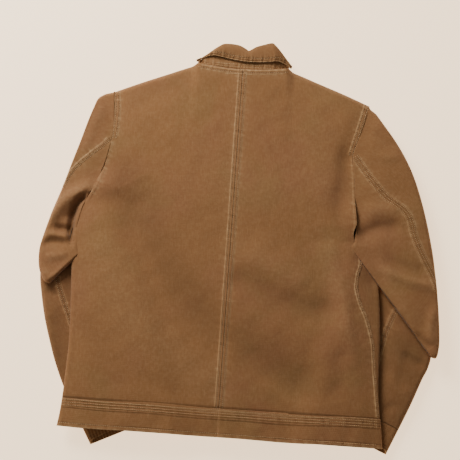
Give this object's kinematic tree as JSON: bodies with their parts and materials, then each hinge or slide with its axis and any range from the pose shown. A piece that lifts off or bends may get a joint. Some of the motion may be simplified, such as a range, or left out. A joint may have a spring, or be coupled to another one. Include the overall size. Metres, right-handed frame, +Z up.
{
  "type": "work jacket",
  "caption": "Waist-length canvas work jacket with collar and waistband, zipped and laid face down with its sleeves folded under.",
  "frame": {"origin": "middle of the bottom of the bounding box, on the surface the jacket lies on", "axes": "+Z up out of the back of the jacket, +Y along the centre back from the hem to the collar, +X to the wearer's right"},
  "size_m": [0.6852, 0.7098, 0.0595],
  "materials": {
    "duck": "washed cotton duck canvas",
    "duck_facing": "unfaded inner side of the same canvas",
    "lining": "plain brown lining",
    "pocket_cloth": "plain pocketing",
    "label": "woven, blank",
    "zip_tape": "woven tape",
    "brass": "dull"
  },
  "bodies": {
    "jacket": {"back_lining": "lining", "back_panel_left": "duck", "back_panel_right": "duck", "collar_point_left": "duck", "collar_point_right": "duck", "collar_stand": "duck", "front_facing_left": "duck_facing", "front_facing_right": "duck_facing", "front_lining_left": "lining", "front_lining_right": "lining", "front_panel_left": "duck", "front_panel_right": "duck", "hang_loop": "duck_facing", "neck_label": "label", "pocket_bag_left": "pocket_cloth", "pocket_bag_right": "pocket_cloth", "pocket_welt_left": "duck", "pocket_welt_right": "duck", "waistband": "duck", "waistband_facing": "duck_facing", "zip_box": "brass", "zip_chain_left": "brass", "zip_chain_right": "brass", "zip_pin": "brass", "zip_tape_left": "zip_tape", "zip_tape_right": "zip_tape", "zip_top_stop_left": "brass", "zip_top_stop_right": "brass"},
    "collar": {"collar_leaf": "duck"},
    "sleeve_left": {"sleeve_outer_left": "duck", "sleeve_inner_left": "duck", "sleeve_lining_left": "lining", "cuff_left": "duck", "cuff_button_left": "brass"},
    "sleeve_right": {"sleeve_outer_right": "duck", "sleeve_inner_right": "duck", "sleeve_lining_right": "lining", "cuff_right": "duck", "cuff_button_right": "brass"},
    "slider": {"zip_slider": "brass"},
    "pull": {"zip_pull": "brass"}
  },
  "joints": [
    {"name": "collar_turn_up", "type": "hinge", "parent": "jacket", "child": "collar", "pos_m": [-0.0185, 0.35, 0.0306], "axis": [-1, 0, 0], "range_deg": [0, 110]},
    {"name": "sleeve_left_swing", "type": "hinge", "parent": "jacket", "child": "sleeve_left", "pos_m": [-0.2465, 0.2574, 0.016], "axis": [0, 0, -1], "range_deg": [0, 20]},
    {"name": "sleeve_right_swing", "type": "hinge", "parent": "jacket", "child": "sleeve_right", "pos_m": [0.2125, 0.2624, 0.016], "axis": [0, 0, 1], "range_deg": [0, 20]},
    {"name": "zip_slide", "type": "slide", "parent": "jacket", "child": "slider", "axis": [0, -1, 0], "range_m": [0, 0.525]},
    {"name": "pull_flip", "type": "hinge", "parent": "slider", "child": "pull", "pos_m": [-0.0185, 0.2184, 0.004], "axis": [1, 0, 0], "range_deg": [0, 180]}
  ]
}
